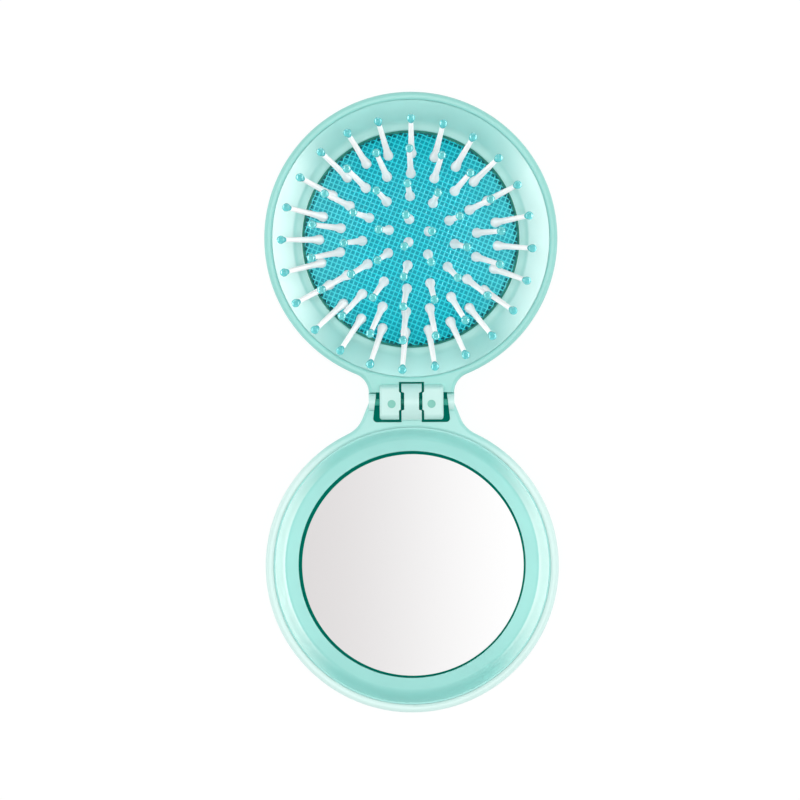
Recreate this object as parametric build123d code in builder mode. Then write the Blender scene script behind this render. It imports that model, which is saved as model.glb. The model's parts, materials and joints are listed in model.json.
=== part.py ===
"""Folding pocket hairbrush with mirror, in millimetres.

Two round shells lie open and flat, joined by an interleaved hinge. +Y runs from the hinge axis towards
the brush half and -Y towards the mirror half, +X lies along the hinge axis, and +Z points up out of the
bristles and the mirror. The origin is on the table, straight under the middle of the hinge axis.
"""

from build123d import *
import math
import os

os.makedirs("parts", exist_ok=True)

# ------------------------------------------------------------------ shells
case_diameter = 70.0  # across each round shell
half_thickness = 17.0  # table to the fold plane, which holds the hinge axis
hinge_standoff = 4.1  # hinge axis to the nearest point of each round shell
back_round = 8.0  # width of the round from the flat of each back to the side
belt_height = 10.4  # where the rounded back turns into the upright side
wall = 1.9
rim_gap = 0.3  # left between the two rims when folded
lip_outer_round = 0.9
lip_inner_round = 0.6
insert_clearance = 0.04  # round an insert pushed into its shell
insert_depth = 0.55  # top of an insert below the rim
bead_height = 0.25  # snap bead of an insert, in a groove of its shell
bead_half_width = 0.4
bead_depth = 2.3  # rim down to the snap bead
rib_count = 6
rib_thickness = 1.6
rib_turn = 30.0  # first rib, in degrees from +X

# -------------------------------------------------------------------- neck
neck_width = 20.4
neck_root = 12.0  # hinge end of a neck to where it has merged with its shell
brush_neck_flare = 0.0  # degrees that each side of the neck opens
brush_neck_fillet = 4.8
mirror_neck_flare = 22.0
mirror_neck_fillet = 7.0
neck_under_round = 1.5
stop_gap = 0.2  # between the two necks, which butt when fully open

# ------------------------------------------------------------------- hinge
block_radius = 4.2  # brush half's two blocks, about the hinge axis
block_flat = 2.6  # their flat tops above the axis
block_top_round = 0.8
block_side_round = 0.6
block_outer = 7.6  # middle of the hinge to a block's outer face
knuckle_radius = 4.4  # mirror half's middle knuckle
knuckle_width = 4.8  # its head and its foot
knuckle_waist_width = 3.5
knuckle_running_gap = 0.2  # knuckle to the blocks' nearest faces as it turns
knuckle_open_gap = 0.6  # beside its head and foot
barrel_clearance = 0.4  # from a barrel's round to the pocket that it turns in
waist_top = 2.2  # hinge axis to the head's shoulder
waist_bottom = 1.8  # hinge axis to the foot's shoulder
shoulder_run = 0.25
knuckle_corner_round = 0.15
ear_radius = 2.05  # the mirror half's two outer arms
ear_clearance = 0.25
arm_gap = 0.85  # between an arm's end and the block beside it
arm_draft = 7.0  # degrees that the gap beside each block widens from there
pocket_corner_round = 0.9
dimple_radius = 0.95  # ejector marks on the blocks
dimple_depth = 0.45
dimple_offset = 4.75  # from the middle of the hinge
dimple_shift = -0.45  # from the hinge axis, along Y
hinge_pin_diameter = 1.6
hinge_pin_inset = 0.2  # each end of the pin inside its arm's outer face
hinge_pin_round = 0.3
pin_seat_clearance = 0.02
pin_running_clearance = 0.05

# ------------------------------------------------------------- funnel ring
funnel_run = 5.15  # width of the sloping wall, in plan
ledge_width = 1.9  # flat ring inside it, round the hole that the cushion rises through
aperture_chamfer = 0.3
funnel_foot_round = 2.0
ledge_depth = 5.35  # rim down to the flat ring
funnel_thickness = 1.4

# ------------------------------------------------------------- bristle pad
flange_overlap = 0.15  # flange beyond the flat ring above it
flange_thickness = 1.1
flange_gap = 0.1  # flange to the funnel ring above it
cushion_gap = 0.9  # round the cushion in the aperture
dome_rise = 5.7  # top of the dome above the edge of the cover
dome_edge_depth = 0.2  # edge of the cover below the flat ring
cushion_thickness = 1.5
cover_thickness = 0.3
cover_clearance = 0.02
guide_depth = 0.9  # guide ribs into the edge of the flange
guide_clearance = 0.2
button_radius = 13.6
button_clearance = 0.4  # round the button in the finger opening
button_height = 2.5  # its face to the flange, which leaves the pad room to slide in by 6.1
button_thickness = 1.4
button_dish = 0.5
button_edge_round = 0.4
button_skirt = 1.2
boss_gap = 0.3  # between the button's skirt and the carrier's boss
opening_round = 1.0

# ---------------------------------------------------------------- bristles
bristle_length = 14.0  # cover to the middle of the ball tip
bristle_root_depth = 0.9  # pushed into the cushion
bristle_root_radius = 1.15
bristle_waist = 3.2  # length of the club at the root
bristle_waist_radius = 0.8
bristle_end_radius = 0.6
tip_radius = 1.0
bristle_turn = 88.0  # first bristle of each ring, in degrees from +X
# (count, share of the cover's radius at which they leave it, outward lean in degrees), centre first
bristle_rings = [(1, 0.0, 0.0), (6, 0.22, 6.6), (12, 0.44, 14.5), (18, 0.655, 26.3), (24, 0.842, 38.0)]

# ------------------------------------------------------------------ mirror
glass_recess = 9.6  # fold plane down to the glass
glass_thickness = 1.8
glass_bevel = 0.3
glass_gap = 0.35  # round the glass in its pocket
glass_sunk = 0.3  # glass below the flat ring round it
glass_shift = (0.2, -0.12)  # the glass is stuck down a little off the middle of its pocket
adhesive_thickness = 0.4
adhesive_margin = 2.5
bezel_thickness = 1.2
bezel_land = 0.4  # flat top of the bezel outside its cove
glass_surround = 2.7  # flat ring round the glass
cove_width = 2.65  # width of the hollow wall outside it
bezel_shoulder = 5.0  # top of the bezel down to where its side turns in
bezel_knee_depth = 9.7  # top of the bezel down to the corner under its wall
bezel_knee_inset = 1.6  # side of the bezel in to that corner
support_radius = 15.0  # ring in the mirror shell that carries the bezel
support_thickness = 1.4

# -------------------------------------------------------------- worked out
case_radius = case_diameter / 2
centre_distance = case_radius + hinge_standoff
back_radius = case_radius - back_round
bore_radius = case_radius - wall
rim_height = half_thickness - rim_gap / 2
insert_radius = bore_radius - insert_clearance
insert_top = rim_height - insert_depth
bead_z = rim_height - bead_depth
half_neck = neck_width / 2
half_stop = stop_gap / 2
pocket_reach = knuckle_radius + barrel_clearance
pocket_floor = half_thickness - pocket_reach
arm_inner = block_outer + arm_gap
ledge_top = rim_height - ledge_depth
ledge_radius = insert_radius - funnel_run
aperture_radius = ledge_radius - ledge_width
funnel_under = ledge_top - funnel_thickness
flange_top = funnel_under - flange_gap
flange_bottom = flange_top - flange_thickness
flange_radius = ledge_radius + flange_overlap
guide_reach = flange_radius - guide_depth
cover_radius = aperture_radius - cushion_gap
dome_top = ledge_top - dome_edge_depth + dome_rise
dome_radius = (cover_radius**2 + dome_rise**2) / (2 * dome_rise)
dome_centre = dome_top - dome_radius
button_face = flange_bottom - button_height
button_inside = button_face + button_thickness
skirt_inner = button_radius - button_skirt
boss_outer = skirt_inner - boss_gap
opening_radius = button_radius + button_clearance
dish_radius = (skirt_inner**2 + button_dish**2) / (2 * button_dish)
tip_flat = math.sqrt(tip_radius**2 - bristle_end_radius**2)
glass_top = half_thickness - glass_recess
adhesive_bottom = glass_top - glass_thickness - adhesive_thickness
bezel_bottom = adhesive_bottom - bezel_thickness
cove_inner = insert_radius - bezel_land - cove_width
glass_pocket = cove_inner - glass_surround
glass_radius = glass_pocket - glass_gap
cove_foot = glass_top + glass_sunk

upwards = (0, 0, 1)
brush_seat = Plane(origin=(0, centre_distance, 0))
mirror_seat = Plane(origin=(0, -centre_distance, 0))
brush_section = Plane(origin=brush_seat.origin, x_dir=(1, 0, 0), z_dir=(0, -1, 0))
mirror_section = Plane(origin=mirror_seat.origin, x_dir=(1, 0, 0), z_dir=(0, -1, 0))
brush_axis = Axis(brush_seat.origin, upwards)
mirror_axis = Axis(mirror_seat.origin, upwards)


# ------------------------------------------- shapes that both halves share
def shell_blank(neck_flare, neck_fillet):
    """A round shell and its neck as one solid, not yet hollow, on the +Y side of the hinge axis."""
    spread = half_neck + (centre_distance - half_stop) * math.tan(math.radians(neck_flare))

    with BuildPart() as neck:
        with BuildSketch(Plane.XY.offset(belt_height)) as plan:
            with Locations((0, centre_distance)):
                Circle(case_radius)
            with BuildLine():
                Polyline(
                    (-half_neck, half_stop),
                    (half_neck, half_stop),
                    (spread, centre_distance),
                    (-spread, centre_distance),
                    close=True,
                )
            make_face()
            fillet(plan.vertices().sort_by_distance((0, 0))[2:4], neck_fillet)
            with Locations((0, half_stop)):
                Rectangle(
                    case_diameter,
                    neck_root,
                    align=(Align.CENTER, Align.MIN),
                    mode=Mode.INTERSECT,
                )
        extrude(amount=rim_height - belt_height)
        under_edges = neck.faces().sort_by(Axis.Z)[0].edges()
        fillet(under_edges.sort_by(Axis.Y)[1:], neck_under_round)

    with BuildPart() as blank:
        with BuildSketch(brush_section):
            with BuildLine():
                Line((0, 0), (back_radius, 0))
                EllipticalCenterArc(
                    (back_radius, belt_height),
                    case_radius - back_radius,
                    belt_height,
                    start_angle=-90,
                    arc_size=90,
                )
                Polyline(
                    (case_radius, belt_height),
                    (case_radius, rim_height),
                    (0, rim_height),
                    (0, 0),
                )
            make_face()
        revolve(axis=brush_axis)
        add(neck.part)
        outline = blank.faces().sort_by(Axis.Z)[-1].edges()
        fillet(outline.sort_by(Axis.Y)[1:], lip_outer_round)
    return blank.part


def shell_cavity(rib_start, rib_top):
    """The hollow of a shell, with ribs standing in it and the groove for its insert's snap bead."""
    with BuildPart() as cavity:
        with BuildSketch(brush_section):
            with BuildLine():
                Line((0, wall), (back_radius, wall))
                EllipticalCenterArc(
                    (back_radius, belt_height),
                    bore_radius - back_radius,
                    belt_height - wall,
                    start_angle=-90,
                    arc_size=90,
                )
                Polyline(
                    (bore_radius, belt_height),
                    (bore_radius, bead_z - bead_half_width),
                    (bore_radius + bead_height, bead_z),
                    (bore_radius, bead_z + bead_half_width),
                    (bore_radius, half_thickness),
                    (0, half_thickness),
                    (0, wall),
                )
            make_face()
        revolve(axis=brush_axis)
        with BuildSketch(brush_seat.offset(wall)):
            with PolarLocations((rib_start + case_radius) / 2, rib_count, start_angle=rib_turn):
                Rectangle(case_radius - rib_start, rib_thickness)
        extrude(amount=rib_top - wall, mode=Mode.SUBTRACT)
    return cavity.part


def waisted_plan(end_half, waist_half, top, bottom):
    """An outline with a narrow waist between a head and a foot, seen from above the hinge."""
    with BuildSketch() as plan:
        with BuildLine():
            Polyline(
                (0, top),
                (end_half, top),
                (end_half, waist_top + shoulder_run),
                (waist_half, waist_top),
                (waist_half, -waist_bottom),
                (end_half, -waist_bottom - shoulder_run),
                (end_half, bottom),
                (0, bottom),
                close=True,
            )
        make_face()
        mirror(about=Plane.YZ)
        shoulders = plan.vertices().group_by(Axis.Y)[1:-1]
        fillet([corner for row in shoulders for corner in row], knuckle_corner_round)
    return plan.sketch


def circles_of(part, radius):
    """The round edges of one radius, lowest first."""
    return part.edges().filter_by(GeomType.CIRCLE).filter_by(
        lambda edge: abs(edge.radius - radius) < insert_clearance / 2
    ).sort_by(Axis.Z)


# -------------------------------------------------------------- brush half
# one barrel with a flat top, which the knuckle's slot parts into the two blocks
with BuildPart() as barrel:
    with BuildSketch(Plane.YZ.offset(-block_outer)) as barrel_end:
        with Locations((0, half_thickness)):
            Circle(block_radius)
        with Locations((0, half_thickness - block_radius)):
            Rectangle(
                2 * block_radius,
                block_radius + block_flat,
                align=(Align.CENTER, Align.MIN),
                mode=Mode.INTERSECT,
            )
        fillet(barrel_end.vertices().group_by(Axis.Y)[-1], block_top_round)
    extrude(amount=2 * block_outer)
    barrel_sides = barrel.faces().sort_by(Axis.X)
    fillet(barrel_sides[0].edges() + barrel_sides[-1].edges(), block_side_round)

with BuildPart() as brush_case:
    add(shell_blank(brush_neck_flare, brush_neck_fillet))
    add(shell_cavity(guide_reach, funnel_under), mode=Mode.SUBTRACT)
    fillet(circles_of(brush_case, bore_radius)[-1], lip_inner_round)
    # finger opening behind the button
    with BuildSketch(brush_seat):
        Circle(opening_radius)
    extrude(amount=wall, mode=Mode.SUBTRACT)
    fillet(circles_of(brush_case, opening_radius)[0], opening_round)
    add(barrel.part)
    # ejector marks on the flat tops
    with BuildSketch(Plane.XY.offset(half_thickness + block_flat)):
        with Locations((-dimple_offset, dimple_shift), (dimple_offset, dimple_shift)):
            Circle(dimple_radius)
    extrude(amount=-dimple_depth, mode=Mode.SUBTRACT)
    # slot for the mirror half's middle knuckle
    with BuildSketch(Plane.XY.offset(pocket_floor)):
        add(
            waisted_plan(
                knuckle_width / 2 + knuckle_open_gap,
                knuckle_width / 2 + knuckle_running_gap,
                pocket_reach,
                -pocket_reach,
            )
        )
    extrude(amount=2 * pocket_reach, mode=Mode.SUBTRACT)
    # room for the mirror half's two arms
    for side in (-1, 1):
        with BuildSketch(Plane.YZ.offset(side * block_outer)):
            with Locations((0, half_thickness)):
                Circle(ear_radius + ear_clearance)
        extrude(amount=side * (half_neck - block_outer + ear_clearance), mode=Mode.SUBTRACT)
    # bore that turns on the hinge pin
    with BuildSketch(Plane.YZ.offset(-block_outer)):
        with Locations((0, half_thickness)):
            Circle(hinge_pin_diameter / 2 + pin_running_clearance)
    extrude(amount=2 * block_outer, mode=Mode.SUBTRACT)
brush_case.part.label = "brush_case"
export_step(brush_case.part, "parts/brush_case.step")

with BuildPart() as funnel_ring:
    with BuildSketch(brush_section):
        with BuildLine():
            Polyline(
                (aperture_radius, ledge_top),
                (ledge_radius, ledge_top),
                (insert_radius, insert_top),
                (insert_radius, bead_z + bead_half_width),
                (insert_radius + bead_height, bead_z),
                (insert_radius, bead_z - bead_half_width),
                (insert_radius, bead_z - 2 * bead_half_width),
                (ledge_radius + funnel_thickness / 2, funnel_under),
                (aperture_radius, funnel_under),
                close=True,
            )
        make_face()
    revolve(axis=brush_axis)
    chamfer(circles_of(funnel_ring, aperture_radius)[-1], aperture_chamfer)
    fillet(circles_of(funnel_ring, ledge_radius)[-1], funnel_foot_round)
funnel_ring.part.label = "funnel_ring"
export_step(funnel_ring.part, "parts/funnel_ring.step")

# ------------------------------------------------------------- bristle pad
with BuildPart() as bristle_carrier:
    with BuildSketch(brush_seat.offset(flange_bottom)):
        Circle(flange_radius)
        with PolarLocations((guide_reach + case_radius) / 2, rib_count, start_angle=rib_turn):
            Rectangle(
                case_radius - guide_reach + 2 * guide_clearance,
                rib_thickness + 2 * guide_clearance,
                mode=Mode.SUBTRACT,
            )
    extrude(amount=flange_thickness)
    with BuildSketch(brush_seat.offset(button_inside)):
        Circle(boss_outer)
        Circle(boss_outer - button_skirt, mode=Mode.SUBTRACT)
    extrude(amount=flange_bottom - button_inside)
bristle_carrier.part.label = "bristle_carrier"
export_step(bristle_carrier.part, "parts/bristle_carrier.step")

with BuildPart() as push_button:
    with BuildSketch(brush_seat.offset(button_face)):
        Circle(button_radius)
    extrude(amount=flange_bottom - button_face)
    with BuildSketch(brush_seat.offset(button_inside)):
        Circle(skirt_inner)
    extrude(amount=flange_bottom - button_inside, mode=Mode.SUBTRACT)
    fillet(circles_of(push_button, button_radius)[0], button_edge_round)
    # shallow dish for the fingertip
    with Locations((0, centre_distance, button_face + button_dish - dish_radius)):
        Sphere(dish_radius, mode=Mode.SUBTRACT)
push_button.part.label = "push_button"
export_step(push_button.part, "parts/push_button.step")


def domed_disc(rim_radius, sphere_radius):
    """A disc that stands on the carrier and is domed on top, about the cushion's own centre."""
    with BuildPart() as disc:
        with BuildSketch(brush_seat.offset(flange_top)):
            Circle(rim_radius)
        extrude(amount=dome_rise + dome_top - flange_top)
        with Locations((0, centre_distance, dome_centre)):
            Sphere(sphere_radius, mode=Mode.INTERSECT)
    return disc.part


cushion_top_radius = dome_radius - cover_thickness - cover_clearance

with BuildPart() as cushion:
    add(domed_disc(cover_radius - cover_thickness - cover_clearance, cushion_top_radius))
    with Locations((0, centre_distance, dome_centre)):
        Sphere(cushion_top_radius - cushion_thickness, mode=Mode.SUBTRACT)
cushion.part.label = "cushion"
export_step(cushion.part, "parts/cushion.step")

with BuildPart() as cushion_cover:
    add(domed_disc(cover_radius, dome_radius))
    add(
        domed_disc(cover_radius - cover_thickness, dome_radius - cover_thickness),
        mode=Mode.SUBTRACT,
    )
cushion_cover.part.label = "cushion_cover"
export_step(cushion_cover.part, "parts/cushion_cover.step")


# ---------------------------------------------------------------- bristles
def along_bristles(count, ring_radius, lean, distance):
    """A place on each bristle of a ring, that far out from the cover, with +Z along the bristle."""
    root_height = dome_centre + math.sqrt(dome_radius**2 - ring_radius**2)
    places = []
    for step in range(count):
        turn = Location((0, centre_distance, root_height), (0, 0, bristle_turn + 360 * step / count))
        places.append(turn * Location((ring_radius, 0, 0), (0, lean, 0)) * Location((0, 0, distance)))
    return places


standing = (Align.CENTER, Align.CENTER, Align.MIN)
for ring, (count, share, lean) in enumerate(bristle_rings):
    ring_name = f"ring_{ring}" if ring else "centre"
    ring_radius = share * cover_radius

    with BuildPart() as bristles:
        with Locations(*along_bristles(count, ring_radius, lean, -bristle_root_depth)):
            Cone(
                bristle_root_radius,
                bristle_waist_radius,
                bristle_root_depth + bristle_waist,
                align=standing,
            )
        with Locations(*along_bristles(count, ring_radius, lean, bristle_waist)):
            Cone(
                bristle_waist_radius,
                bristle_end_radius,
                bristle_length - tip_flat - bristle_waist,
                align=standing,
            )
    bristles.part.label = f"bristles_{ring_name}"
    export_step(bristles.part, f"parts/bristles_{ring_name}.step")

    with BuildPart() as tips:
        with Locations(*along_bristles(count, ring_radius, lean, bristle_length)):
            Sphere(
                tip_radius,
                arc_size1=-math.degrees(math.asin(tip_flat / tip_radius)),
                align=None,
            )
    tips.part.label = f"tips_{ring_name}"
    export_step(tips.part, f"parts/tips_{ring_name}.step")

# ------------------------------------------------------------- mirror half
with BuildPart() as middle_knuckle:
    with BuildSketch(Plane.YZ.offset(-knuckle_width / 2)):
        with Locations((0, half_thickness)):
            Circle(knuckle_radius)
        with Locations((-pocket_reach, pocket_floor)):
            Rectangle(pocket_reach, rim_height - pocket_floor, align=Align.MIN)
    extrude(amount=knuckle_width)
    with BuildSketch(Plane.XY.offset(pocket_floor)):
        add(
            waisted_plan(
                knuckle_width / 2,
                knuckle_waist_width / 2,
                knuckle_radius,
                -pocket_reach,
            )
        )
    extrude(amount=2 * pocket_reach, mode=Mode.INTERSECT)

with BuildPart() as mirror_case:
    add(shell_blank(mirror_neck_flare, mirror_neck_fillet).mirror(Plane.XZ))
    add(
        shell_cavity(support_radius - support_thickness / 2, bezel_bottom).mirror(Plane.XZ),
        mode=Mode.SUBTRACT,
    )
    fillet(circles_of(mirror_case, bore_radius)[-1], lip_inner_round)
    # ring that carries the middle of the bezel
    with BuildSketch(mirror_seat.offset(wall)):
        Circle(support_radius)
        Circle(support_radius - support_thickness, mode=Mode.SUBTRACT)
    extrude(amount=bezel_bottom - wall)
    # the two outer arms end in round ears
    for side in (-1, 1):
        with BuildSketch(Plane.YZ.offset(side * arm_inner)):
            with Locations((0, half_thickness)):
                Circle(ear_radius)
        extrude(amount=side * (half_neck - arm_inner))
    # pocket that the brush half's blocks turn in, which also tapers the arms
    pocket_half = arm_inner + (ear_radius + pocket_reach) * math.tan(math.radians(arm_draft))
    with BuildSketch(Plane.XY.offset(pocket_floor)) as pocket:
        with BuildLine():
            Polyline(
                (-arm_inner, ear_radius),
                (arm_inner, ear_radius),
                (pocket_half, -pocket_reach),
                (-pocket_half, -pocket_reach),
                close=True,
            )
        make_face()
        fillet(pocket.vertices().group_by(Axis.Y)[0], pocket_corner_round)
    extrude(amount=2 * pocket_reach, mode=Mode.SUBTRACT)
    add(middle_knuckle.part)
    # bore that holds the hinge pin
    with BuildSketch(Plane.YZ.offset(-half_neck)):
        with Locations((0, half_thickness)):
            Circle(hinge_pin_diameter / 2 + pin_seat_clearance)
    extrude(amount=neck_width, mode=Mode.SUBTRACT)
mirror_case.part.label = "mirror_case"
export_step(mirror_case.part, "parts/mirror_case.step")

with BuildPart() as mirror_bezel:
    with BuildSketch(mirror_section):
        with BuildLine():
            Polyline(
                (0, adhesive_bottom),
                (glass_pocket, adhesive_bottom),
                (glass_pocket, cove_foot),
                (cove_inner, cove_foot),
            )
            EllipticalCenterArc(
                (cove_inner, insert_top),
                cove_width,
                insert_top - cove_foot,
                start_angle=-90,
                arc_size=90,
            )
            Polyline(
                (insert_radius - bezel_land, insert_top),
                (insert_radius, insert_top),
                (insert_radius, bead_z + bead_half_width),
                (insert_radius + bead_height, bead_z),
                (insert_radius, bead_z - bead_half_width),
                (insert_radius, insert_top - bezel_shoulder),
                (insert_radius - bezel_knee_inset, insert_top - bezel_knee_depth),
                (glass_pocket + bezel_thickness, bezel_bottom),
                (0, bezel_bottom),
                (0, adhesive_bottom),
            )
        make_face()
    revolve(axis=mirror_axis)
mirror_bezel.part.label = "mirror_bezel"
export_step(mirror_bezel.part, "parts/mirror_bezel.step")

with BuildPart() as mirror_adhesive:
    with BuildSketch(mirror_seat.offset(adhesive_bottom)):
        Circle(glass_radius - adhesive_margin)
    extrude(amount=adhesive_thickness)
mirror_adhesive.part.label = "mirror_adhesive"
export_step(mirror_adhesive.part, "parts/mirror_adhesive.step")

with BuildPart() as mirror_glass:
    with BuildSketch(mirror_seat.offset(glass_top)):
        with Locations(glass_shift):
            Circle(glass_radius)
    extrude(amount=-glass_thickness)
    chamfer(circles_of(mirror_glass, glass_radius)[-1], glass_bevel)
mirror_glass.part.label = "mirror_glass"
export_step(mirror_glass.part, "parts/mirror_glass.step")

with BuildPart() as hinge_pin:
    with BuildSketch(Plane.YZ.offset(hinge_pin_inset - half_neck)):
        with Locations((0, half_thickness)):
            Circle(hinge_pin_diameter / 2)
    extrude(amount=neck_width - 2 * hinge_pin_inset)
    fillet(hinge_pin.edges().filter_by(GeomType.CIRCLE), hinge_pin_round)
hinge_pin.part.label = "hinge_pin"
export_step(hinge_pin.part, "parts/hinge_pin.step")
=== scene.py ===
# %% [markdown]
# # A folding pocket hairbrush with a mirror
# The brush lies open on its back: two round shells of mint green plastic, joined by a hinge. One holds
# a domed cushion under a woven net, with 61 nylon pins that end in resin balls; the other holds a round
# mirror. The shells, rings, hinge and mirror come from the CAD frame, whose shapes are final, so here
# they only get their finishes. The cushion, the net, the pins and the balls are soft or fine pieces
# that the CAD model keeps plain, so they are modelled again in the place of the plain ones.

# %% Load the frame
import json
import math

import bmesh
import bpy
from mathutils import Matrix, Vector

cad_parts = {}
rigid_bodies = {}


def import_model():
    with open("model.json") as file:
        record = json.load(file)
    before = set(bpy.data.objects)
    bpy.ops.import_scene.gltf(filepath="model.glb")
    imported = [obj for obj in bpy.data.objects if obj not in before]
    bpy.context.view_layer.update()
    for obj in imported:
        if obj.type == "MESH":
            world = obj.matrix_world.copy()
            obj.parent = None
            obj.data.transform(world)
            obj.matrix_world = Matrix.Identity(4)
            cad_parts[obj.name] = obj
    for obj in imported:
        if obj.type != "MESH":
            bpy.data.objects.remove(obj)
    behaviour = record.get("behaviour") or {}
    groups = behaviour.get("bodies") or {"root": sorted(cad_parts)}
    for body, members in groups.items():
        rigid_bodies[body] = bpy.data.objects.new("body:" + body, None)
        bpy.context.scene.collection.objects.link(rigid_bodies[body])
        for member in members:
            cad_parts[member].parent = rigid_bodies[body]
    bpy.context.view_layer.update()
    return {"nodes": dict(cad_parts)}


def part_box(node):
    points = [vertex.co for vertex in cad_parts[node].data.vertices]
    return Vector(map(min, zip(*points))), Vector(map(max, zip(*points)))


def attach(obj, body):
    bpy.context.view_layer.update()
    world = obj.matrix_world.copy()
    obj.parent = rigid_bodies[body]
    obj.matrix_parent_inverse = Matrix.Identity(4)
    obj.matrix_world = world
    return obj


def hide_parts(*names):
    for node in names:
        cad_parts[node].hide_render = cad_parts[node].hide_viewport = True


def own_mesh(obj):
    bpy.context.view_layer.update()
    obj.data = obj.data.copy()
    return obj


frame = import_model()
nodes = frame["nodes"]
mm = 0.001

# %% [markdown]
# ## The camera
# A long lens looks straight down from a metre above the fold plane, so that the round shells stay round
# and the pins in the middle are seen nearly end on. A camera close by would show their sides as well.
# The lens follows from the width that the picture takes in.

# %% Camera
fold_plane = 17 * mm
camera_height = 1.0
picture_width = 190.8 * mm
camera_place = Vector((-2.75 * mm, 0.5 * mm, fold_plane + camera_height))
camera_roll = math.radians(-0.25)

camera_data = bpy.data.cameras.new("camera")
camera_data.sensor_width = 36.0
camera_data.lens = camera_data.sensor_width * camera_height / picture_width
camera_data.clip_start = 0.01
camera = bpy.data.objects.new("camera", camera_data)
camera.location = camera_place
camera.rotation_euler.z = camera_roll
bpy.context.scene.collection.objects.link(camera)
bpy.context.scene.camera = camera
bpy.context.scene.view_settings.view_transform = "Standard"
print("camera:", round(camera_data.lens, 1), "mm lens")

# %% [markdown]
# ## Sums of wires
# A finish is a tree of nodes, which could be wired one by one, but shader maths reads best as plain
# sums, such as 1 - mask * 0.4. A wire is one output of a node, and its operators add Math nodes to the
# same material. Every other node comes from Finish.node, which sets the node's own settings first and
# then fills its sockets with numbers, colours or wires.

# %% Wire
class Wire:
    """One output of a shader node, which can be added, subtracted and multiplied."""

    def __init__(self, tree, socket):
        self.tree = tree
        self.socket = socket

    def sum(self, operation, first, second):
        maths = self.tree.nodes.new("ShaderNodeMath")
        maths.operation = operation
        for slot, value in zip(maths.inputs, (first, second)):
            plug(self.tree, slot, value)
        return Wire(self.tree, maths.outputs[0])

    def __add__(self, other):
        return self.sum("ADD", self, other)

    def __radd__(self, other):
        return self.sum("ADD", other, self)

    def __sub__(self, other):
        return self.sum("SUBTRACT", self, other)

    def __rsub__(self, other):
        return self.sum("SUBTRACT", other, self)

    def __mul__(self, other):
        return self.sum("MULTIPLY", self, other)

    def __rmul__(self, other):
        return self.sum("MULTIPLY", other, self)


def plug(tree, slot, value):
    """Fills a socket with a wire, or with a number or colour of its own."""
    if isinstance(value, Wire):
        tree.links.new(value.socket, slot)
    else:
        slot.default_value = value


print("helper: Wire, for sums of shader values")


# %% Material helper
class Finish:
    """A material, or the world, while its nodes are being laid out."""

    def __init__(self, owner):
        owner.use_nodes = True
        self.owner = owner
        self.tree = owner.node_tree
        self.tree.nodes.clear()

    def node(self, kind, settings={}, sockets={}, out=0):
        made = self.tree.nodes.new(kind)
        for name, value in settings.items():
            setattr(made, name, value)
        for name, value in sockets.items():
            plug(self.tree, made.inputs[name], value)
        return Wire(self.tree, made.outputs[out]) if made.outputs else made

    def blend(self, share, low, high):
        """A colour that goes from low to high with share."""
        return self.node("ShaderNodeMix", {"data_type": "RGBA"}, {0: share, 6: low, 7: high}, out=2)

    def part_of(self, vector, axis, size=False):
        """One part of a vector, or its size without the sign."""
        part = self.node("ShaderNodeSeparateXYZ", {}, {0: vector}, out=axis)
        return self.node("ShaderNodeMath", {"operation": "ABSOLUTE"}, {0: part}) if size else part

    def ramp(self, value, start, end):
        """0 where value is below start, 1 where it is above end, and smooth between them."""
        steps = {"interpolation_type": "SMOOTHSTEP"}
        return self.node("ShaderNodeMapRange", steps, {"Value": value, "From Min": start, "From Max": end})

    def noise(self, place, scale, detail):
        """Cloudy noise from 0 to 1."""
        return self.node("ShaderNodeTexNoise", {}, {"Vector": place, "Scale": scale, "Detail": detail})

    def bumps(self, height, strength, depth):
        """A normal that leans as if the surface rose by depth where height is 1."""
        return self.node("ShaderNodeBump", {}, {"Strength": strength, "Distance": depth, "Height": height})

    def surface(self, **sockets):
        """Ends a material in the standard surface. An underscore in a name stands for a space."""
        named = {name.replace("_", " "): value for name, value in sockets.items()}
        shader = self.node("ShaderNodeBsdfPrincipled", {}, named)
        self.node("ShaderNodeOutputMaterial", {}, {"Surface": shader})
        return self.owner


def new_finish(name):
    return Finish(bpy.data.materials.new(name))


def rgb(red, green, blue):
    """A shader colour from screen values of 0 to 255."""
    return tuple((value / 255) ** 2.2 for value in (red, green, blue)) + (1.0,)


print("helper: Finish, for materials and the world")

# %% [markdown]
# ## The table
# The brush lies on a white table that fades into a white room. A table that is lit like any object
# would turn grey towards its edges. So the Light Path node shows the camera nearly plain white, and
# only a small share of the table is lit, which keeps a faint shadow under the shells. From below the
# table is clear, so that the backs of the shells can be looked at.

# %% Table
smooth_angle = math.radians(40)  # edges sharper than this stay sharp
table_half = 4.0
table_drop = 0.05 * mm
lit_white = (0.88, 0.88, 0.88, 1)
plain_glow = 1.03
plain_least = 0.25  # share of plain white in the light that the table gives the brush
plain_more = 0.65  # and how much more of it is seen


def add_piece(name, shape, material, body=None):
    """Turns a finished bmesh into an object at the origin, smooth where its faces nearly line up."""
    mesh = bpy.data.meshes.new(name)
    shape.to_mesh(mesh)
    shape.free()
    mesh.shade_smooth()
    mesh.set_sharp_from_angle(angle=smooth_angle)
    mesh.materials.append(material)
    piece = bpy.data.objects.new(name, mesh)
    bpy.context.scene.collection.objects.link(piece)
    if body:
        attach(piece, body)
    return piece


def seen_rays(finish):
    """1 to the camera, in reflections and through glass, and 0 to the light that falls on the brush."""
    camera_ray = finish.node("ShaderNodeLightPath", out="Is Camera Ray")
    glossy_ray = finish.node("ShaderNodeLightPath", out="Is Glossy Ray")
    glass_ray = finish.node("ShaderNodeLightPath", out="Is Transmission Ray")
    return camera_ray + glossy_ray + glass_ray


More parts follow.
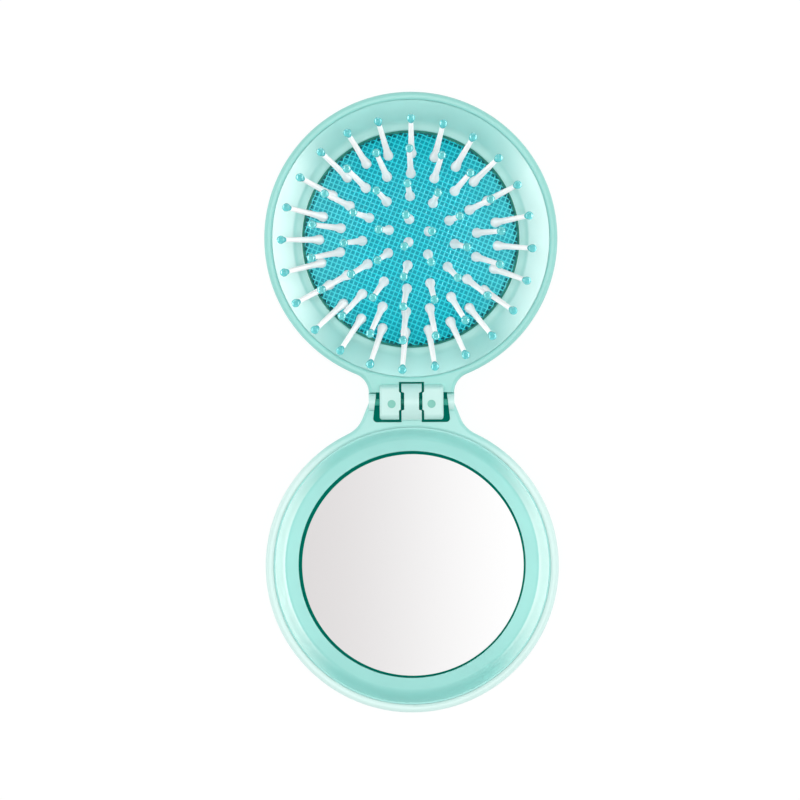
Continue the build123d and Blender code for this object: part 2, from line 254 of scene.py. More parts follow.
def table_finish():
    finish = new_finish("table_white")
    lit = finish.node("ShaderNodeBsdfDiffuse", {}, {"Color": lit_white})
    plain = finish.node("ShaderNodeEmission", {}, {"Color": (1, 1, 1, 1), "Strength": plain_glow})
    plain_share = plain_least + plain_more * seen_rays(finish)
    top = finish.node("ShaderNodeMixShader", {}, {0: plain_share, 1: lit, 2: plain})
    underside = finish.node("ShaderNodeNewGeometry", out="Backfacing")
    clear = finish.node("ShaderNodeBsdfTransparent")
    both = finish.node("ShaderNodeMixShader", {}, {0: underside, 1: top, 2: clear})
    finish.node("ShaderNodeOutputMaterial", {}, {"Surface": both})
    return finish.owner


table_shape = bmesh.new()
bmesh.ops.create_grid(table_shape, x_segments=1, y_segments=1, size=table_half)
bmesh.ops.translate(table_shape, verts=table_shape.verts, vec=(0, 0, -table_drop))
table = add_piece("table", table_shape, table_finish())
print("table:", 2 * table_half, "m square, its top", round(table_drop / mm, 2), "mm under the brush")

# %% [markdown]
# ## The light
# The light is that of a small product studio. The white room and a softbox overhead fill everything in.
# Low softboxes at the sides and the foot shape the sloping walls, where one strong lamp would cast hard
# shadows. The sheens are low lamps that give only gloss. No real lamp does that, but it lets the gloss
# be set without making the plastic paler. A weak pair of edge lamps rounds off the shells. Over the
# camera hangs a card, pale grey on the left and white on the right, which the mirror reflects.

# %% Room
room_light = 0.62  # of the white that is seen

room = Finish(bpy.data.worlds.new("room"))
bpy.context.scene.world = room.owner
room_strength = room_light + (1 - room_light) * seen_rays(room)
room_glow = room.node("ShaderNodeBackground", {}, {"Color": (1, 1, 1, 1), "Strength": room_strength})
room.node("ShaderNodeOutputWorld", {}, {"Surface": room_glow})
print("room: white, and", room_light, "of that to the brush")


# %% Lamps
def softbox(name, place, size, watts):
    """A rectangular lamp that faces the middle of the brush."""
    lamp = bpy.data.lights.new(name, "AREA")
    lamp.shape = "RECTANGLE"
    lamp.size, lamp.size_y = size
    lamp.energy = watts
    box = bpy.data.objects.new(name, lamp)
    box.location = place
    aim = Vector((0, 0, fold_plane)) - Vector(place)
    box.rotation_euler = aim.to_track_quat("-Z", "Y").to_euler()
    bpy.context.scene.collection.objects.link(box)
    return box


softbox("softbox_over", place=(0.0, 0.0, 1.25), size=(0.6, 0.6), watts=4.5)
side_lamps = [
    softbox("softbox_left", place=(-0.75, 0.0, 0.1), size=(0.9, 0.16), watts=4.0),
    softbox("softbox_right", place=(0.75, 0.0, 0.1), size=(0.9, 0.16), watts=3.8),
    softbox("softbox_foot", place=(0.0, -0.9, 0.12), size=(0.7, 0.2), watts=1.5),
]
sheens = [
    softbox("sheen_left", place=(-0.75, 0.1, 0.08), size=(1.1, 0.2), watts=7.0),
    softbox("sheen_right", place=(0.75, 0.08, 0.08), size=(1.2, 0.2), watts=10.5),
    softbox("sheen_head", place=(0.0, 0.75, 0.08), size=(0.6, 0.2), watts=2.2),
]
edge_lamps = [
    softbox("edge_left", place=(-0.7, 0.0, 0.25), size=(0.9, 0.2), watts=0.9),
    softbox("edge_right", place=(0.7, 0.0, 0.25), size=(0.9, 0.2), watts=1.1),
]
for sheen in sheens:
    sheen.visible_diffuse = False
print("lamps:", 1 + len(side_lamps), "softboxes,", len(sheens), "sheens,", len(edge_lamps), "edge lamps")

# %% Card over the camera
card_half = (0.12, 0.25)
card_shift = -0.1  # towards the foot of the brush
card_lift = 0.05  # over the camera
grey_end = -62 * mm
white_end = 75 * mm
card_grey = (0.79, 0.765, 0.765, 1)
card_white = (1.1, 1.1, 1.1, 1)


def card_finish():
    """Pale grey on the left of the brush to white on the right."""
    finish = new_finish("card_gradient")
    place = finish.node("ShaderNodeTexCoord", out="Object")
    share = finish.ramp(finish.part_of(place, "X"), grey_end, white_end)
    glow = finish.node("ShaderNodeEmission", {}, {"Color": finish.blend(share, card_grey, card_white)})
    finish.node("ShaderNodeOutputMaterial", {}, {"Surface": glow})
    return finish.owner


card_shape = bmesh.new()
bmesh.ops.create_grid(card_shape, x_segments=1, y_segments=1, size=1.0)
bmesh.ops.scale(card_shape, verts=card_shape.verts, vec=(*card_half, 1))
bmesh.ops.translate(card_shape, verts=card_shape.verts, vec=(0, card_shift, camera_place.z + card_lift))
card = add_piece("card", card_shape, card_finish())
card.visible_camera = False
card.visible_diffuse = False
card.visible_shadow = False
card.visible_transmission = False
print("card: over the camera, seen only in reflections")

# %% [markdown]
# ## Masks for the moulded plastic
# Some parts of a moulding get a colour of their own here: painted shade in the gaps in the hinge and in
# the sunk marks of the pins that push it out of its mould, and a painted highlight on the side walls of
# the rings and on the far rim. A mask is a number that is 1 on such a part and 0 elsewhere. It could be
# painted on, but the shells from the CAD frame have no flat map to paint, so each mask is worked out from
# where a point lies and which way the surface looks there.

# %% Masks of the hinge
fade_in = 0.1 * mm  # over which a mask starts
fade_out = 0.2 * mm  # and ends
squarely = (0.5, 0.9)  # part of the normal, where a face begins to look along an axis, and where it does
gap_reach = Vector((9.5 * mm, 5.3 * mm))  # of the hinge's gaps, from the middle of the hinge
gap_floor = 12.2 * mm
gap_top = fold_plane - 0.5 * mm
gap_end = 4.65 * mm  # from the hinge's axis to the walls that close its gaps
recess_sides = (7.65 * mm, 8.4 * mm)  # of the recess outside each hinge block
recess_reach = 2.3 * mm
block_top = fold_plane + 1.9 * mm
mark_place = Vector((4.75 * mm, -0.45 * mm))  # ejector marks, one on each side
mark_radius = 0.95 * mm
mark_fade = 1.1


def between(finish, value, start, end):
    """1 where value lies between start and end, 0 elsewhere."""
    return finish.ramp(value, start - fade_in, start) * (1 - finish.ramp(value, end, end + fade_out))


def facing(finish, normal, axis, size=True):
    """1 where the surface looks along an axis, either way, or only up it where size is off."""
    return finish.ramp(finish.part_of(normal, axis, size), *squarely)


def in_circle(finish, across, along, radius, fade):
    """1 inside a circle, falling to 0 where the squared distance is fade times the squared radius."""
    return 1 - finish.ramp(across * across + along * along, radius**2, fade * radius**2)


def hinge_gaps(finish, place, normal, height):
    """1 on the walls and floor of the gaps in the hinge, 0 elsewhere."""
    across = finish.part_of(place, "X", size=True)
    along = finish.part_of(place, "Y", size=True)
    near = (1 - finish.ramp(across, gap_reach.x, gap_reach.x + fade_out)) * (
        1 - finish.ramp(along, gap_reach.y, gap_reach.y + fade_out)
    )
    low = between(finish, height, gap_floor - fade_in / 2, gap_top)
    sides = facing(finish, normal, "X")
    ends = finish.ramp(along, gap_end, gap_end + fade_in) * facing(finish, normal, "Y")
    floor = facing(finish, normal, "Z", size=False) * (
        1 - finish.ramp(height, gap_floor + fade_in, gap_floor + fade_in + fade_out)
    )
    recess = (
        between(finish, across, *recess_sides)
        * (1 - finish.ramp(along, recess_reach, recess_reach + fade_in))
        * between(finish, height, gap_floor, block_top)
    )
    return near * low * (sides + ends + floor) + recess


def ejector_marks(finish, place, height):
    """1 on the sunk marks of the ejector pins on the hinge blocks, which get painted shade."""
    across = finish.part_of(place, "X", size=True) - mark_place.x
    along = finish.part_of(place, "Y") - mark_place.y
    inside = in_circle(finish, across, along, mark_radius, mark_fade)
    return inside * finish.ramp(height, block_top, block_top + fade_in)


print("masks: hinge gaps from", round(gap_floor / mm, 1), "to", round(gap_top / mm, 1), "mm high")

# %% Masks of openings, walls and rims
opening_fade = 1.002
glass_low, glass_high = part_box("mirror_glass")
pocket_radius = (glass_high.x - glass_low.x) / 2 + 0.37 * mm
pocket_centre = sum(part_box("mirror_bezel"), Vector()) / 2
pocket_heights = (glass_low.z - 1.5 * mm, glass_high.z + 0.5 * mm)
pad_centre = sum(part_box("cushion_cover"), Vector()) / 2
pad_radius = 26.05 * mm  # of the opening that the cushion fills
pad_heights = (8.2 * mm, fold_plane)
highlight_sides = (17 * mm, 31 * mm)  # from the middle, over which the painted highlight on the sloping walls grows
flat_enough = (0.75, 0.92)  # part of the normal that looks up, over which a wall ends in a flat
highlight_reach = (7 * mm, 18 * mm)  # from the hinge, over which the painted highlight on the rim grows
rim_heights = (15.6 * mm, 16.4 * mm)


def round_opening(finish, place, height, centre, radius, heights):
    """1 inside a round opening between two heights, walls included, and 0 elsewhere."""
    across = finish.part_of(place, "X") - centre.x
    along = finish.part_of(place, "Y") - centre.y
    return in_circle(finish, across, along, radius, opening_fade) * between(finish, height, *heights)


def lit_side_walls(finish, place, normal):
    """1 on the sloping walls at the left and right of a ring, where the painted highlight goes, falling to
    0 at its head and foot.
    """
    sideways = finish.ramp(finish.part_of(place, "X", size=True), *highlight_sides)
    return sideways * (1 - finish.ramp(finish.part_of(normal, "Z"), *flat_enough))


def lit_far_rim(finish, place, height):
    """1 on the rim that is far from the hinge, where the painted highlight goes, 0 elsewhere."""
    away = finish.ramp(finish.part_of(place, "Y", size=True), *highlight_reach)
    return away * finish.ramp(height, *rim_heights)


print("mask of the mirror pocket:", round(2 * pocket_radius / mm, 1), "mm across")
print("mask of the cushion's opening:", round(2 * pad_radius / mm, 1), "mm across")

# %% [markdown]
# ## Mint plastic
# The shells and rings are moulded in one satin plastic, in four slightly different mints. A mould
# leaves three things on it: very fine grain, slow changes of tone where the plastic flowed, and a
# smoother sheen where rims and backs rub. All three come from noise on the object's own coordinates, so
# nothing stretches and no seam shows. A painted highlight makes the top of the hinge paler, and also the
# side walls of the rings and the mirror half's far rim, which face the lamps. The gaps of the hinge and
# the narrow lines round the mirror and the cushion are painted a deep green for the shade in them, and a
# faint green painted glow stands for the light that comes through the thin, slightly clear plastic.
# These places are finished as a green metal, which shows only what it mirrors and so keeps its painted
# shade under white light.

# %% Mint plastic
rub_heights = (16.2 * mm, 16.8 * mm)  # over which a rim begins to rub
back_rub_height = 0.6 * mm
scuffed = (0.42, 0.6)  # noise, over which a rubbed part turns smoother
hinge_highlight_heights = (fold_plane + 0.2 * mm, fold_plane + 1.2 * mm)  # over which the painted highlight on the hinge grows
highlight_mint = rgb(226, 248, 243)
mark_shade_mint = rgb(120, 208, 192)
gap_shade_green = rgb(0, 120, 98)
gap_glow = (0, 0.075, 0.06, 1)
no_glow = (0, 0, 0, 1)


def mint_plastic(name, mint, wall_highlight, rim_highlight):
    """The plastic of the shells. A painted highlight makes its side walls and far rim paler by the two
    given shares.
    """
    finish = new_finish(name)
    place = finish.node("ShaderNodeTexCoord", out="Object")
    normal = finish.node("ShaderNodeTexCoord", out="Normal")
    height = finish.part_of(place, "Z")
    flow = finish.noise(place, 55.0, 2.0)
    grain = finish.noise(place, 9000.0, 3.0)
    scuff = finish.noise(place, 700.0, 5.0)
    back_rub = 1 - finish.ramp(height, 0.0, back_rub_height)
    rub = (finish.ramp(height, *rub_heights) + back_rub) * finish.ramp(scuff, *scuffed)
    pocket = round_opening(finish, place, height, pocket_centre, pocket_radius, pocket_heights)
    opening = round_opening(finish, place, height, pad_centre, pad_radius, pad_heights)
    # painted shade in the hinge's gaps and in the narrow lines round the mirror and the cushion
    gap_shade = finish.ramp(hinge_gaps(finish, place, normal, height) + pocket + opening, 0.0, 1.0)
    deep_mint = tuple(0.95 * part for part in mint[:3]) + (1,)
    colour = finish.blend(finish.ramp(flow, 0.3, 0.7), deep_mint, mint)
    # painted highlight on the side walls and the far rim, which face the lamps
    wall_and_rim_highlight = wall_highlight * lit_side_walls(finish, place, normal) + rim_highlight * lit_far_rim(finish, place, height)
    # painted highlight on the top of the hinge, blended in with the painted highlight on walls and rim
    hinge_highlight = finish.ramp(height, *hinge_highlight_heights)
    colour = finish.blend(0.5 * hinge_highlight + wall_and_rim_highlight, colour, highlight_mint)
    # painted shade in the sunk ejector marks
    colour = finish.blend(ejector_marks(finish, place, height), colour, mark_shade_mint)
    return finish.surface(
        # painted shade of the gaps, as a deep green metal with a faint painted glow
        Base_Color=finish.blend(gap_shade, colour, gap_shade_green),
        Metallic=gap_shade,
        Roughness=0.33 + 0.08 * grain - 0.07 * rub + 0.3 * gap_shade,
        Coat_Weight=0.3 - 0.3 * gap_shade,
        Coat_Roughness=0.3,
        IOR=1.5,
        Normal=finish.bumps(grain, 0.12, 0.03 * mm),
        Emission_Color=finish.blend(gap_shade, no_glow, gap_glow),
        Emission_Strength=1.0,
    )


def dress(name, material):
    """Gives a CAD node its finish. Its shape stays as it is."""
    nodes[name].data.materials.clear()
    nodes[name].data.materials.append(material)
    print(material.name, "on", name)


brush_mint = mint_plastic("brush_mint", rgb(150, 220, 211), wall_highlight=0.0, rim_highlight=0.0)
mirror_mint = mint_plastic("mirror_mint", rgb(163, 227, 219), wall_highlight=0.0, rim_highlight=0.75)
funnel_mint = mint_plastic("funnel_mint", rgb(166, 224, 217), wall_highlight=0.5, rim_highlight=0.0)
bezel_mint = mint_plastic("bezel_mint", rgb(156, 223, 216), wall_highlight=0.9, rim_highlight=0.0)
dress("brush_case", brush_mint)
dress("push_button", brush_mint)
dress("mirror_case", mirror_mint)
dress("funnel_ring", funnel_mint)
dress("mirror_bezel", bezel_mint)

# %% [markdown]
# ## The mirror
# A mirror is a sheet of glass silvered on its back. Clear glass over a metal sheet would show nearly
# the same, but would render slower, so the disc is a metal surface without colour. Its ground edge
# shows the green of the glass, painted darker as well for the shade of the narrow gap round it. Height
# tells the two apart: below the bevel the disc is no metal any more. A faint haze in the roughness stops
# it from looking drawn.

# %% Mirror glass
silver_depth = 0.3 * mm  # from the face of the mirror to the foot of its bevel
edge_depth = 0.36 * mm
edge_shade_green = rgb(0, 96, 80)
silver_white = (0.93, 0.93, 0.93, 1)


def silvered_glass():
    finish = new_finish("silvered_glass")
    place = finish.node("ShaderNodeTexCoord", out="Object")
    height = finish.part_of(place, "Z")
    silver = finish.ramp(height, glass_high.z - edge_depth, glass_high.z - silver_depth)
    haze = finish.noise(place, 90.0, 6.0)
    return finish.surface(
        # the glass's own green edge with painted shade of the gap round it
        Base_Color=finish.blend(silver, edge_shade_green, silver_white),
        Metallic=silver,
        Roughness=0.2 - 0.19 * silver + 0.012 * haze,
    )


dress("mirror_glass", silvered_glass())
print("mirror:", round((glass_high.x - glass_low.x) / mm, 2), "mm across")

# %% [markdown]
# ## The pieces inside
# Three pieces show only as glimpses: the moulded pin in the hinge, the plate that carries the cushion
# and the foam pad behind the mirror. A plain colour would do for a glimpse, but they also show when the
# brush is taken apart. So pin and plate get the cloudy tone of plain moulded plastic, a deeper green
# than the shells, and the foam is full of small open cells.

# %% Carrier and foam
def carrier_plastic():
    finish = new_finish("carrier_plastic")
    place = finish.node("ShaderNodeTexCoord", out="Object")
    cloud = finish.noise(place, 140.0, 4.0)
    grain = finish.noise(place, 6000.0, 2.0)
    return finish.surface(
        Base_Color=finish.blend(cloud, rgb(40, 165, 145), rgb(60, 180, 160)),
        Roughness=0.45 + 0.15 * cloud,
        Normal=finish.bumps(grain, 0.2, 0.03 * mm),
    )


def foam_pad():
    finish = new_finish("adhesive_foam")
    place = finish.node("ShaderNodeTexCoord", out="Object")
    cells = finish.node("ShaderNodeTexVoronoi", {}, {"Vector": place, "Scale": 3000.0})
    return finish.surface(
        Base_Color=finish.blend(cells, (0.5, 0.5, 0.47, 1), (0.8, 0.8, 0.77, 1)),
        Roughness=0.85 + 0.1 * cells,
        Normal=finish.bumps(cells, 0.6, 0.08 * mm),
    )


carrier_green = carrier_plastic()
dress("hinge_pin", carrier_green)
dress("bristle_carrier", carrier_green)
dress("mirror_adhesive", foam_pad())

# %% [markdown]
# ## The line of the cushion
# The cushion is a rubber dome, and a net is stretched over it and tucked down its side. A cloth
# simulation could drape the net, but a net that is pulled tight ends up on the rubber all over, so both
# follow one line instead: a large sphere on top, a small round at the edge and a straight side, which
# presses out a little under the pull of the net and nearly fills its opening. The function below puts
# any point of a flat cloth on that line, at a given height above it, so cushion and net can't part.

# %% Where the cloth lies
cover_low, cover_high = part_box("cushion_cover")
cover_centre = (cover_low + cover_high) / 2
cover_radius = (cover_high.x - cover_low.x) / 2
dome_rise = 5.7 * mm
edge_round = 0.8 * mm
cloth_radius = cover_radius + 0.35 * mm
dome_radius = (cover_radius**2 + dome_rise**2) / (2 * dome_rise)
dome_centre = cover_high.z - dome_radius
edge_tilt = math.asin((cloth_radius - edge_round) / (dome_radius - edge_round))
edge_start = dome_radius * math.sin(edge_tilt)
edge_middle = dome_centre + (dome_radius - edge_round) * math.cos(edge_tilt)


def over_cushion(x, y, lift):
    """The place on the cushion of a point of the flat cloth, which stands lift above it."""
    reach = math.hypot(x, y)
    if reach <= edge_start:
        tilt = math.asin(reach / dome_radius)
        out = (dome_radius + lift) * math.sin(tilt)
        up = dome_centre + (dome_radius + lift) * math.cos(tilt)
    else:
        tilt = min(edge_tilt + (reach - edge_start) / edge_round, math.pi / 2)
        straight = reach - edge_start - edge_round * (math.pi / 2 - edge_tilt)
        out = cloth_radius - edge_round + (edge_round + lift) * math.sin(tilt)
        up = edge_middle + (edge_round + lift) * math.cos(tilt) - max(straight, 0)
    turn = math.atan2(y, x)
    return Vector((cover_centre.x + out * math.cos(turn), cover_centre.y + out * math.sin(turn), up))


side_height = edge_middle - cover_low.z
cloth_reach = edge_start + edge_round * (math.pi / 2 - edge_tilt) + side_height
print("cloth reaches", round(cloth_reach / mm, 2), "mm from the middle of the cushion")

# %% [markdown]
# ## The cushion
# The dome could be a flattened sphere, but its side goes straight down. So a spin turns half of the
# cushion's line into a closed crowned body: over the dome, round the edge, down the side and back
# under to the middle. It lies one thread's thickness under the line of the cloth, so that the waves of
# the net just clear it. Its side gets painted shade for the dark of the opening it goes into, and a
# painted highlight makes its left and right lighter than its middle.

# %% Shades of the cushion
opening_shade_heights = (edge_middle + 0.2 * edge_round, edge_middle + edge_round)
bright_sides = (8 * mm, 24 * mm)  # from the middle, over which the painted highlight on the cushion and net grows


def opening_shade(finish, place):
    """1 down the side of the cushion, where painted shade stands for the dark of its opening, 0 on top."""
    return 1 - finish.ramp(finish.part_of(place, "Z"), *opening_shade_heights)


def side_light(finish, place):
    """1 at the left and right of the cushion, where the painted highlight goes, 0 along its middle."""
    return finish.ramp(finish.part_of(place, "X", size=True), *bright_sides)


def soft_rubber():
    finish = new_finish("cushion_rubber")
    place = finish.node("ShaderNodeTexCoord", out="Object")
    bloom = finish.noise(place, 160.0, 4.0)
    skin = finish.noise(place, 5000.0, 3.0)
    colour = finish.blend(bloom, rgb(0, 170, 190), rgb(0, 186, 203))
    # painted highlight at the left and right of the cushion
    colour = finish.blend(0.25 * side_light(finish, place), colour, rgb(120, 226, 236))
    return finish.surface(
        # painted shade down the side, where the cushion goes into its opening
        Base_Color=finish.blend(opening_shade(finish, place), colour, rgb(0, 84, 96)),
        Roughness=0.5 + 0.2 * skin,
        Specular_IOR_Level=0.3,
        Normal=finish.bumps(skin, 0.3, 0.05 * mm),
    )


print("shades: the cushion is tucked in below", round(opening_shade_heights[1] / mm, 2), "mm")

# %% Cushion
net_thread = 0.31 * mm
line_steps = 48
turn_steps = 160
merge_distance = 0.001 * mm


def cushion_piece():
    shape = bmesh.new()
    under = Vector((cover_centre.x, cover_centre.y, cover_low.z))
    reaches = [cloth_reach * step / line_steps for step in range(line_steps + 1)]
    line = [over_cushion(reach, 0, -net_thread) for reach in reaches]
    corners = [shape.verts.new(point) for point in line + [under]]
    edges = [shape.edges.new(pair) for pair in zip(corners, corners[1:])]
    bmesh.ops.spin(
        shape, geom=corners + edges, cent=cover_centre, axis=(0, 0, 1),
        angle=2 * math.pi, steps=turn_steps, use_merge=True,
    )
    bmesh.ops.remove_doubles(shape, verts=shape.verts, dist=merge_distance)
    bmesh.ops.recalc_face_normals(shape, faces=shape.faces)
    return add_piece("cushion_pad", shape, soft_rubber(), "bristle_pad")


cushion_pad = cushion_piece()
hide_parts("cushion")
print("cushion:", len(cushion_pad.data.polygons), "faces")

# %% [markdown]
# ## The net
# The net is a plain weave of two sets of threads, each over one and under the next. A picture of a
# weave on a sheet would look flat up close, so each thread is a small grid, rolled into a tube and
# waved up and down at its crossings. It is laid out flat, turned to the slant that the cloth was cut
# at, and then every point is put over the cushion, so the squares narrow down the side as stretched
# cloth does. Like the cushion, it gets a painted highlight at the left and right and painted shade
# down the side.

# %% Threads
net_pitch = 1.1 * mm
net_wave = 0.4 * net_thread
net_slant = math.radians(-22)
thread_sides = 6
last_thread = 0.98  # how far from the middle the last thread may lie, as a share of the cloth's reach


def add_thread(shape, row, turn, first):
    """Adds one thread of the flat net: row counts from the middle, and first is 1 if it starts over."""
    half_length = math.sqrt(cloth_reach**2 - (row * net_pitch) ** 2)
    half_count = int(2 * half_length / net_pitch)
    made = bmesh.ops.create_grid(shape, x_segments=2 * half_count, y_segments=thread_sides, size=1.0)
    slanted = Matrix.Rotation(net_slant + turn, 3, "Z")
    for corner in made["verts"]:
        along = corner.co.x * half_count * net_pitch / 2
        around = corner.co.y * math.pi
        wave = first * (-1) ** row * net_wave * math.cos(math.pi * along / net_pitch)
        flat = slanted @ Vector((along, row * net_pitch + net_thread / 2 * math.sin(around), 0))
        corner.co = over_cushion(flat.x, flat.y, wave + net_thread / 2 * math.cos(around))
    bmesh.ops.remove_doubles(shape, verts=made["verts"], dist=merge_distance)


def net_cord():
    finish = new_finish("cover_net")
    place = finish.node("ShaderNodeTexCoord", out="Object")
    slanted = finish.node("ShaderNodeMapping", {}, {"Vector": place, "Rotation": (0, 0, -net_slant)})
    diagonal = {"bands_direction": "DIAGONAL"}
    bands = {"Vector": slanted, "Scale": 1400.0, "Distortion": 0.6}
    twist = finish.node("ShaderNodeTexWave", diagonal, bands, out="Fac")
    dye = finish.noise(place, 320.0, 2.0)
    colour = finish.blend(dye, rgb(0, 220, 234), rgb(30, 233, 243))
    # painted highlight at the left and right of the net
    colour = finish.blend(0.5 * side_light(finish, place), colour, rgb(130, 251, 255))
    return finish.surface(
        # painted shade where the net goes down into the opening
        Base_Color=finish.blend(opening_shade(finish, place), colour, rgb(0, 120, 134)),
        Roughness=0.28 + 0.12 * twist,
        Normal=finish.bumps(twist, 0.4, 0.04 * mm),
    )


print("threads:", round(net_thread / mm, 2), "mm thick,", round(net_pitch / mm, 2), "mm apart")


# %% Net
def net_piece():
    shape = bmesh.new()
    rows = int(last_thread * cloth_reach / net_pitch)
    for row in range(-rows, rows + 1):
        add_thread(shape, row, 0, 1)
        add_thread(shape, row, math.pi / 2, -1)
    ends = [edge for edge in shape.edges if edge.is_boundary]
    bmesh.ops.holes_fill(shape, edges=ends, sides=thread_sides)
    bmesh.ops.recalc_face_normals(shape, faces=shape.faces)
    return add_piece("cushion_net", shape, net_cord(), "bristle_pad")


cushion_net = net_piece()
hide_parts("cushion_cover")
2 * cloth_reach
2 * cloth_reach
math.pi * cloth_reach**2
print("net:", len(cushion_net.data.polygons), "faces")

# %% [markdown]
# ## The pins
# A pin is moulded nylon with a round club at its root and a shaft that thins towards its ball. Cones
# and cylinders put together would show their joints, so its line is spun once into a mesh, and a copy
# goes to each place of its ring. The balls are dipped resin: a drop that is drawn down a little onto
# the shaft, tinted and a little clear.

# %% Pin and ball
pin_length = 14.0 * mm  # cushion to the middle of the ball
root_depth = 0.9 * mm
root_radius = 1.2 * mm
shaft_radius = 0.72 * mm
end_radius = 0.56 * mm
ball_radius = 1.0 * mm
ball_start = math.radians(48)  # where the ball leaves its collar, from straight down
collar_depth = 1.35 * mm  # from the middle of the ball down to the foot of its collar
collar_height = 0.2 * mm
collar_width = 0.1 * mm
pin_steps = 20


def spun(line, steps):
    """A closed body, turned from a line of (radius, height) points that starts and ends on its axis."""
    shape = bmesh.new()
    corners = [shape.verts.new((radius, 0, height)) for radius, height in line]
    edges = [shape.edges.new(pair) for pair in zip(corners, corners[1:])]
    bmesh.ops.spin(
        shape, geom=corners + edges, cent=(0, 0, 0), axis=(0, 0, 1),
        angle=2 * math.pi, steps=steps, use_merge=True,
    )
    bmesh.ops.remove_doubles(shape, verts=shape.verts, dist=merge_distance)
    bmesh.ops.recalc_face_normals(shape, faces=shape.faces)
    mesh = bpy.data.meshes.new("turned")
    shape.to_mesh(mesh)
    shape.free()
    return mesh


def arc(centre, radius, start, end, steps):
    """Points (radius, height) on a round about (0, centre), at angles measured from straight down."""
    angles = [start + (end - start) * step / steps for step in range(steps + 1)]
    return [(radius * math.sin(angle), centre - radius * math.cos(angle)) for angle in angles]


club = arc(root_radius - root_depth, root_radius, 0, math.radians(100), 6)
shaft = [
    (0.94 * root_radius, 0.9 * mm),  # the club narrows,
    (0.8 * root_radius, 1.6 * mm),
    (1.08 * shaft_radius, 2.6 * mm),  # turns into the shaft,
    (shaft_radius, 4.2 * mm),
    (end_radius, pin_length - 0.9 * mm),  # which thins up to the ball and ends inside it
    (0.8 * end_radius, pin_length - 0.2 * mm),
    (0.0, pin_length),
]
pin_mesh = spun(club + shaft, pin_steps)

collar = [
    (0.0, -collar_depth),
    (end_radius, -collar_depth),
    (end_radius + collar_width, collar_height - collar_depth),
]
drop = arc(0.0, ball_radius, ball_start, math.pi, 11)
ball_mesh = spun(collar + drop, pin_steps)
print("pin:", len(pin_mesh.polygons), "faces, ball:", len(ball_mesh.polygons))


# %% Pin and ball finishes
def pin_nylon():
    finish = new_finish("bristle_nylon")
    place = finish.node("ShaderNodeTexCoord", out="Object")
    cloud = finish.noise(place, 260.0, 3.0)
    grain = finish.noise(place, 7000.0, 2.0)
    return finish.surface(
        Base_Color=finish.blend(cloud, (0.94, 0.9, 0.9, 1), (0.98, 0.94, 0.94, 1)),
        Roughness=0.32 + 0.1 * cloud,
        Subsurface_Weight=0.15,
        Subsurface_Radius=(1.0, 0.9, 0.9),
        Subsurface_Scale=0.4 * mm,
        Normal=finish.bumps(grain, 0.1, 0.02 * mm),
    )


def tip_resin():
    finish = new_finish("tip_resin")
    place = finish.node("ShaderNodeTexCoord", out="Object")
    cloud = finish.noise(place, 900.0, 2.0)
    return finish.surface(
        Base_Color=finish.blend(cloud, rgb(68, 190, 194), rgb(98, 208, 208)),
        Roughness=0.1 + 0.06 * cloud,
        IOR=1.45,
        Transmission_Weight=0.15,
        Coat_Weight=0.5,
        Coat_Roughness=0.05,
    )


nylon = pin_nylon()
resin = tip_resin()
print("finishes:", nylon.name, "and", resin.name)

# %% [markdown]
# ## The rings of pins
# The pins stand in rings, and each ring leans out more than the one inside it. They could be copies on
# empties, but a ring that is one mesh is one piece, as the CAD model has it. The rubber is soft, so the
# whole field has sagged to one side, most in the middle and less towards the edge. When the lid folds,
# the pad goes in, and the funnel ring pushes the sagged pins of the outer ring upright again.

# %% Rings of pins
# how many pins, the share of the cover's radius where they stand, and their lean in degrees
pin_rings = [(1, 0.0, 0.0), (6, 0.217, 7.5), (12, 0.436, 14.8), (18, 0.651, 27.0), (24, 0.842, 38.3)]
first_pin = math.radians(87.8)
sag_shift = Vector((-0.55, -0.95)) * mm
sag_axis = (0.83, -0.55, 0)
sag_lean = math.radians(7.4)  # in the middle
sag_fade = math.radians(3.5)  # less of it at the edge
sag_way = Vector((0, 0, 1)).cross(Vector(sag_axis)).normalized()  # away from the side the pins sag to


def pin_places(count, share, lean):
    """Where each pin of a ring leaves the cushion, with +Z along the pin."""
    ring_radius = share * cover_radius
    sag = Matrix.Rotation(sag_lean - sag_fade * share, 4, sag_axis)
    places = []
    for step in range(count):
        turn = first_pin + 2 * math.pi * step / count
        across = ring_radius * math.cos(turn) + sag_shift.x
        along = ring_radius * math.sin(turn) + sag_shift.y
        outward = Matrix.Rotation(turn, 4, "Z") @ Matrix.Rotation(lean, 4, "Y")
        places.append(Matrix.Translation(over_cushion(across, along, 0)) @ sag @ outward)
    return places


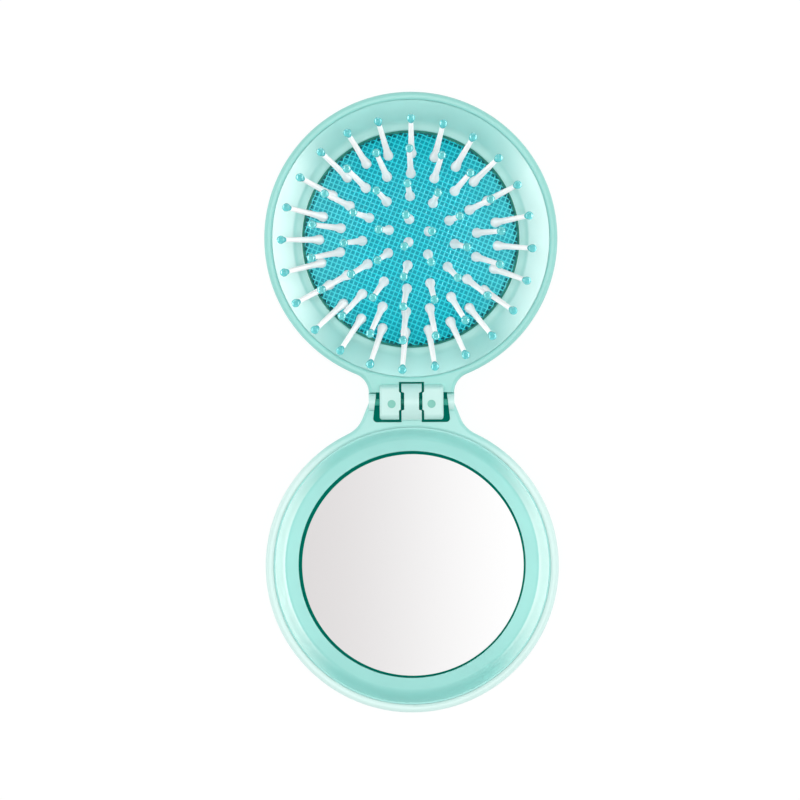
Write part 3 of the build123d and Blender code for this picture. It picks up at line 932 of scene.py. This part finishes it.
def set_out(name, mesh, places, material):
    """One piece that is made of a copy of the mesh at each place."""
    shape = bmesh.new()
    for place in places:
        one = mesh.copy()
        one.transform(place)
        shape.from_mesh(one)
        bpy.data.meshes.remove(one)
    return add_piece(name, shape, material, "bristle_pad")


to_ball = Matrix.Translation((0, 0, pin_length))
for ring, (count, share, lean) in enumerate(pin_rings):
    ring_name = f"ring_{ring}" if ring else "centre"
    places = pin_places(count, share, math.radians(lean))
    pins = set_out(f"pins_{ring_name}", pin_mesh, places, nylon)
    balls = set_out(f"balls_{ring_name}", ball_mesh, [place @ to_ball for place in places], resin)
    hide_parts(f"bristles_{ring_name}")
    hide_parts(f"tips_{ring_name}")
    if ring == len(pin_rings) - 1:
        for piece in (pins, balls):
            cover_centre + cover_radius * sag_way
            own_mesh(piece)
    print(pins.name, "and", balls.name, "at", count, "places")

# %% [markdown]
# ## Which piece each lamp lights
# In a studio, small black flags keep a lamp off a piece. Light linking does the same here without
# flags that could show in the mirror. The side lamps and sheens are kept off the two cases, whose round
# edges would burn out against the white table, and the weaker edge lamps light the cases alone. The
# pins stand so close that no low light gets through them to the funnel behind, while real nylon lets
# much of it by, so the sheens take no shadow from the cushion, its net, the pins and their balls.

# %% Light linking
def light_group(name, pieces, state):
    """A collection for light linking, whose pieces are the only ones lit or the only ones left out."""
    group = bpy.data.collections.new(name)
    for piece in pieces:
        group.objects.link(piece)
    for member in group.collection_objects:
        member.light_linking.link_state = state
    return group


cases = [nodes["brush_case"], nodes["mirror_case"]]
soft_names = ("cushion_", "pins_", "balls_")
soft_pieces = [piece for piece in bpy.data.objects if piece.name.startswith(soft_names)]
all_but_cases = light_group("all_but_cases", cases, "EXCLUDE")
cases_alone = light_group("cases_alone", cases, "INCLUDE")
see_through = light_group("see_through", soft_pieces, "EXCLUDE")
for lamp in side_lamps + sheens:
    lamp.light_linking.receiver_collection = all_but_cases
for lamp in sheens:
    lamp.light_linking.blocker_collection = see_through
for lamp in edge_lamps:
    lamp.light_linking.receiver_collection = cases_alone
print("sheens pass", len(soft_pieces), "soft pieces, and", len(edge_lamps), "lamps light the cases alone")
